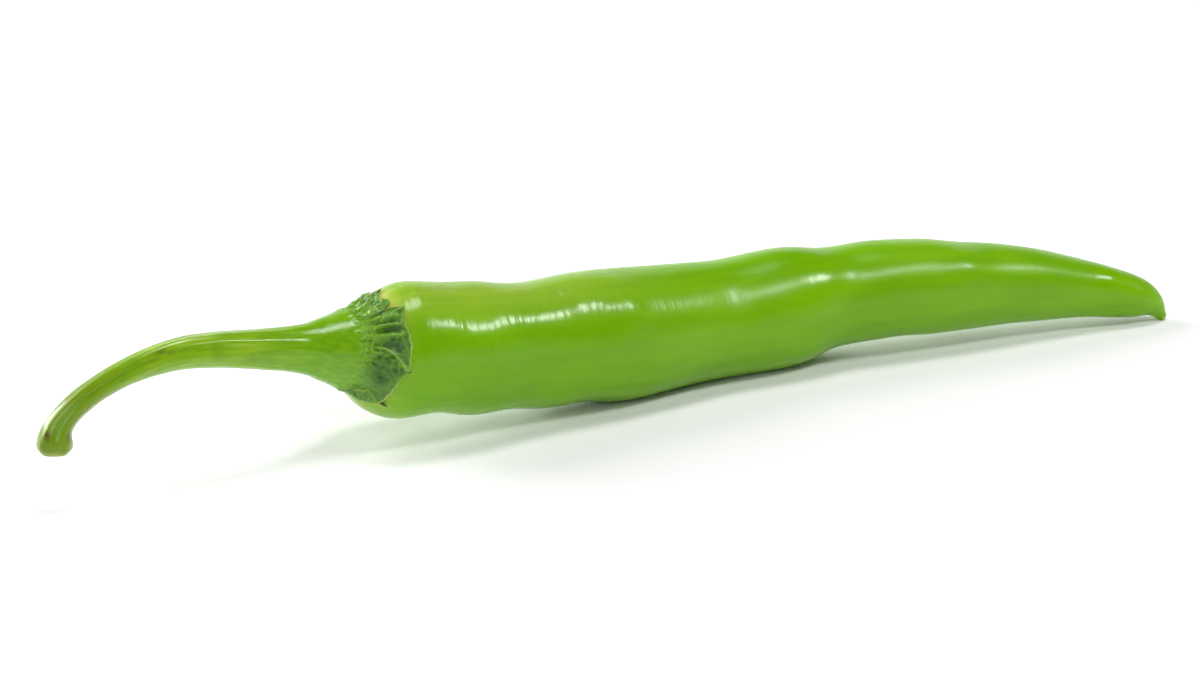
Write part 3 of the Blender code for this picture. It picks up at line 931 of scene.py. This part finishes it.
class MESH_OT_chili_stem(bpy.types.Operator):
    """Builds the stem: its long ridges and grooves, its scars and its cut end"""

    bl_idname = "mesh.chili_stem"
    bl_label = "Stem"

    COLUMNS = 144
    STEP = 0.16
    EDGE_ROWS = 10
    FACE_ROWS = 10

    def groove(self, distance, angle):
        """The long groove on the near side of the thin half."""
        groove = stripe(angle, 66, 9) * soft_step(distance, -40.0, -47.0)
        return groove * soft_step(distance, -60.5, -58.0)

    def ribs(self, distance, angle, settings):
        """Five soft ribs, narrow and fine ridges between them and the near groove."""
        thin = soft_step(distance, -14.0, -30.0)
        rib = 0.10 * thin * np.cos(5 * (angle - math.radians(30)))
        fine = waves(0.06 * distance, angle, seed=31, count=30, length=1.0, turns=22)
        fine = fine * settings.ridge / MM
        uneven = 0.02 * waves(distance, angle, seed=33, count=30, length=4.5, turns=3)
        relief = rib + fine + uneven - 0.16 * self.groove(distance, angle)
        for degrees, height, width, first, last in STEM_RIDGES:
            rise = soft_step(distance, first - 3.0, first + 3.0)
            fall = soft_step(distance, last, last - 4.0)
            relief += height * (rise * fall) * stripe(angle, degrees, width)
        return relief * soft_step(distance, -12.8, -17.0)

    def execute(self, context):
        settings = context.scene.chili_stem
        axis = Axis()
        radius_at = smooth_curve(STEM_RADIUS)
        cut, root = STEM_RADIUS[0][0], STEM_RADIUS[-1][0]
        body = np.linspace(cut + CUT_EDGE, root, int((root - cut) / self.STEP))
        turns = 0.5 * math.pi * np.arange(1, self.EDGE_ROWS) / self.EDGE_ROWS
        edge = cut + CUT_EDGE * (1 - np.cos(turns))
        face = np.full(self.FACE_ROWS, cut)
        distances = np.concatenate([face, edge, body])
        rim = STEM_RADIUS[0][1] - CUT_EDGE
        radii = np.concatenate([
            rim * np.linspace(1.0 / self.FACE_ROWS, 1.0, self.FACE_ROWS),
            rim + CUT_EDGE * np.sin(turns),
            radius_at(body)[..., 0],
        ])
        distance, angle = np.meshgrid(distances, ring_angles(self.COLUMNS), indexing="ij")
        # The ribs fade out over the cut end's edge and towards its middle.
        outside = soft_step(np.arange(len(distances)), 1.0, self.FACE_ROWS + 4.0)[:, None]
        wide = np.minimum(1.0, 2 * radii / radii.max())[:, None]
        radius = radii[:, None] + self.ribs(distance, angle, settings) * outside * wide
        layers = {
            "straight": straightened(distance, angle, radius),
            "groove": self.groove(distance, angle),
            "marks": strongest(STEM_MARKS, distance, angle),
            "cut": soft_step(distance, cut + 1.3, cut + 0.1),
            "funnel": soft_step(distance, -26.0, -13.0),
            "old_end": soft_step(distance, -38.0, -54.0),
        }
        grid = axis.place(distance, angle, radius)
        stem = ring_skin("chili_stem", grid, axis.poles(cut, root), layers)
        wear(stem, stem_skin(settings, context.scene.chili_calyx), "stem")
        return {"FINISHED"}


def stem_skin(settings, calyx):
    """Satin green with streaks along it, painted shade in its groove, brown scars and a dry cut end."""
    shader = Shader("stem skin")
    clouds = shader.noise(0.25, 0.4, detail=3.0)
    grain = shader.noise(3.0, 3.0)
    funnel, streaks = funnel_green(shader, calyx)
    color = shader.mix(shader.band(streaks, 0.35, 0.7), settings.skin, STEM_STREAK)
    color = shader.mix(shader.band(clouds, 0.4, 0.75, 0.0, 0.6), color, settings.groove)
    color = shader.mix(shader.layer("funnel"), color, funnel)
    old_end = shader.times(shader.layer("old_end"), shader.band(clouds, 0.3, 0.7, 0.9, 0.6))
    color = shader.mix(old_end, color, OLD_STEM)
    # Painted shade: the deeper green laid along the near groove.
    color = shader.mix(shader.layer("groove"), color, settings.groove)
    marks = shader.times(shader.layer("marks"), shader.band(grain, 0.3, 0.55, 0.4, 1.0))
    color = shader.mix(marks, color, settings.scar)
    dry = shader.times(shader.layer("cut"), shader.band(clouds, 0.3, 0.7, 0.4, 1.0))
    color = shader.mix(dry, color, DRY_CUT)
    normal = shader.bump(streaks, 0.00002)
    normal = shader.bump(grain, 0.000006, normal)
    shader.set("Base Color", color)
    shader.set("Roughness", shader.band(clouds, 0.3, 0.7, 0.16, 0.22))
    shader.set("Normal", normal)
    shader.set("Specular IOR Level", 0.35)
    shader.set("Subsurface Weight", 0.05)
    shader.set("Subsurface Scale", 0.001)
    return shader.material


class SCENE_OT_chili_stage(bpy.types.Operator):
    """Builds the white studio: its floor, its curved wall, its lights and the camera"""

    bl_idname = "scene.chili_stage"
    bl_label = "Stage"

    # The floor's rings, and the wall round it, which rises behind the pepper.
    FLOOR_RADII = (0.3, 0.7, 1.3)
    WALL_CURVE = 0.3
    CURVE_STEPS = 8
    WALL_LOW = 0.31
    WALL_HIGH = 1.2
    SIDES = 64
    # How much of the wall's glow is left in front of the pepper.
    GLOW_IN_FRONT = 0.12

    # Each light's name, direction, distance, width, length and the setting with its power.
    LIGHTS = (
        ("key light", (0.60, -0.44, 0.67), 0.9, 0.14, 0.14, "key_power"),
        ("stem light", (0.36, -0.56, 0.75), 0.9, 0.12, 0.12, "stem_power"),
        ("fill light", (-0.55, -0.60, 0.52), 1.2, 0.5, 0.5, "fill_power"),
        ("overhead light", (0.13, 0.06, 0.98), 1.2, 0.33, 0.55, "overhead_power"),
        ("low panel", (-0.55, 0.80, 0.30), 1.3, 0.8, 0.4, "low_panel_power"),
        ("high panel", (-0.40, 0.62, 0.64), 1.3, 0.8, 0.5, "high_panel_power"),
    )
    ROOM_LIGHT = 0.04

    def sweep(self, name, rings, centre=None):
        """Rings of points joined by faces, with an optional middle point inside the first."""
        points = [p for ring in rings for p in ring]
        faces = []
        for i in range(len(rings) - 1):
            for k in range(self.SIDES):
                n = (k + 1) % self.SIDES
                low, high = i * self.SIDES, (i + 1) * self.SIDES
                faces.append((low + n, low + k, high + k, high + n))
        if centre is not None:
            points.append(centre)
            faces += [(len(points) - 1, k, (k + 1) % self.SIDES) for k in range(self.SIDES)]
        piece = smooth_piece(name, points, faces)
        return piece

    def ring(self, radius, height):
        """A ring of points. The height may change round it, as a function of the angle."""
        turns = [TURN * k / self.SIDES for k in range(self.SIDES)]
        return [(radius * math.cos(t), radius * math.sin(t), height(t)) for t in turns]

    def paper(self, name, color, glow):
        """White paper that glows a little behind the pepper and hardly in front of it."""
        shader = Shader(name)
        place = shader.node("ShaderNodeSeparateXYZ")
        shader.put(place.inputs[0], shader.node("ShaderNodeNewGeometry").outputs["Position"])
        shader.set("Base Color", color)
        shader.set("Roughness", 1.0)
        shader.set("Specular IOR Level", 0.0)
        shader.set("Emission Color", WHITE)
        strength = shader.band(place.outputs["Y"], -0.2, 0.8, self.GLOW_IN_FRONT * glow, glow)
        shader.set("Emission Strength", strength)
        return shader.material

    def wall_rings(self):
        """The wall's rings: they curve up from the floor's edge, and the last one is its top."""
        edge = self.FLOOR_RADII[-1]
        rings = []
        for k in range(self.CURVE_STEPS + 1):
            bend = 0.5 * math.pi * k / self.CURVE_STEPS
            out = edge + self.WALL_CURVE * math.sin(bend)
            up = self.WALL_CURVE * (1 - math.cos(bend))
            rings.append(self.ring(out, lambda t, up=up: up))

        def top(turn):
            behind = 0.5 + 0.5 * math.sin(turn)
            return self.WALL_LOW + (self.WALL_HIGH - self.WALL_LOW) * behind**1.5

        rings.append(self.ring(edge + self.WALL_CURVE, top))
        return rings

    def area_light(self, name, direction, distance, width, length, power):
        light = bpy.data.lights.new(name, "AREA")
        light.shape = "RECTANGLE"
        light.size = width
        light.size_y = length
        light.energy = power
        lamp = in_scene(name, light)
        lamp.location = Vector(direction).normalized() * distance
        lamp.rotation_euler = Vector(direction).to_track_quat("Z", "Y").to_euler()

    def camera(self):
        camera = bpy.data.cameras.new("camera")
        camera.lens = CAMERA_LENS
        camera.sensor_width = 36.0
        camera.sensor_fit = "HORIZONTAL"
        camera.clip_start = 0.01
        camera.clip_end = 20.0
        eye = in_scene("camera", camera)
        eye.location = Vector(CAMERA_AT) * MM
        eye.rotation_euler = Vector(CAMERA_FORWARD).to_track_quat("-Z", "Y").to_euler()
        return eye

    def execute(self, context):
        settings = context.scene.chili_stage
        floor_rings = [self.ring(radius, lambda t: 0.0) for radius in self.FLOOR_RADII]
        floor = self.sweep("floor", floor_rings, (0.0, 0.0, 0.0))
        floor.data.materials.append(self.paper("white floor", settings.paper, 0.0))
        wall = self.sweep("wall", self.wall_rings())
        wall.data.materials.append(self.paper("white wall", settings.paper, settings.wall_glow))
        for *light, power in self.LIGHTS:
            self.area_light(*light, getattr(settings, power))
        world = bpy.data.worlds.new("dim room")
        world.use_nodes = True
        background = world.node_tree.nodes["Background"].inputs
        background["Color"].default_value = (*WHITE, 1.0)
        background["Strength"].default_value = self.ROOM_LIGHT
        context.scene.world = world
        context.scene.camera = self.camera()
        context.scene.view_settings.view_transform = "Standard"
        return {"FINISHED"}


class VIEW3D_PT_chili(bpy.types.Panel):
    bl_label = "Green Chili Pepper"
    bl_space_type = "VIEW_3D"
    bl_region_type = "UI"
    bl_category = "Chili"

    def draw(self, context):
        for operator, _, name in STEPS:
            box = self.layout.box()
            box.operator(operator.bl_idname, text=operator.bl_label)
            group = getattr(context.scene, name)
            for key in group.__annotations__:
                box.prop(group, key)


# Each operator, its settings and their name in the scene.
STEPS = (
    (MESH_OT_chili_pod, PodSettings, "chili_pod"),
    (MESH_OT_chili_calyx, CalyxSettings, "chili_calyx"),
    (MESH_OT_chili_stem, StemSettings, "chili_stem"),
    (SCENE_OT_chili_stage, StageSettings, "chili_stage"),
)


def register():
    for operator, settings, name in STEPS:
        bpy.utils.register_class(settings)
        bpy.utils.register_class(operator)
        setattr(bpy.types.Scene, name, PointerProperty(type=settings))
    bpy.utils.register_class(VIEW3D_PT_chili)


def unregister():
    bpy.utils.unregister_class(VIEW3D_PT_chili)
    for operator, settings, name in reversed(STEPS):
        delattr(bpy.types.Scene, name)
        bpy.utils.unregister_class(operator)
        bpy.utils.unregister_class(settings)


def main():
    register()
    bpy.ops.scene.chili_stage()
    bpy.ops.mesh.chili_pod()
    bpy.ops.mesh.chili_calyx()
    bpy.ops.mesh.chili_stem()


if __name__ == "__main__":
    main()
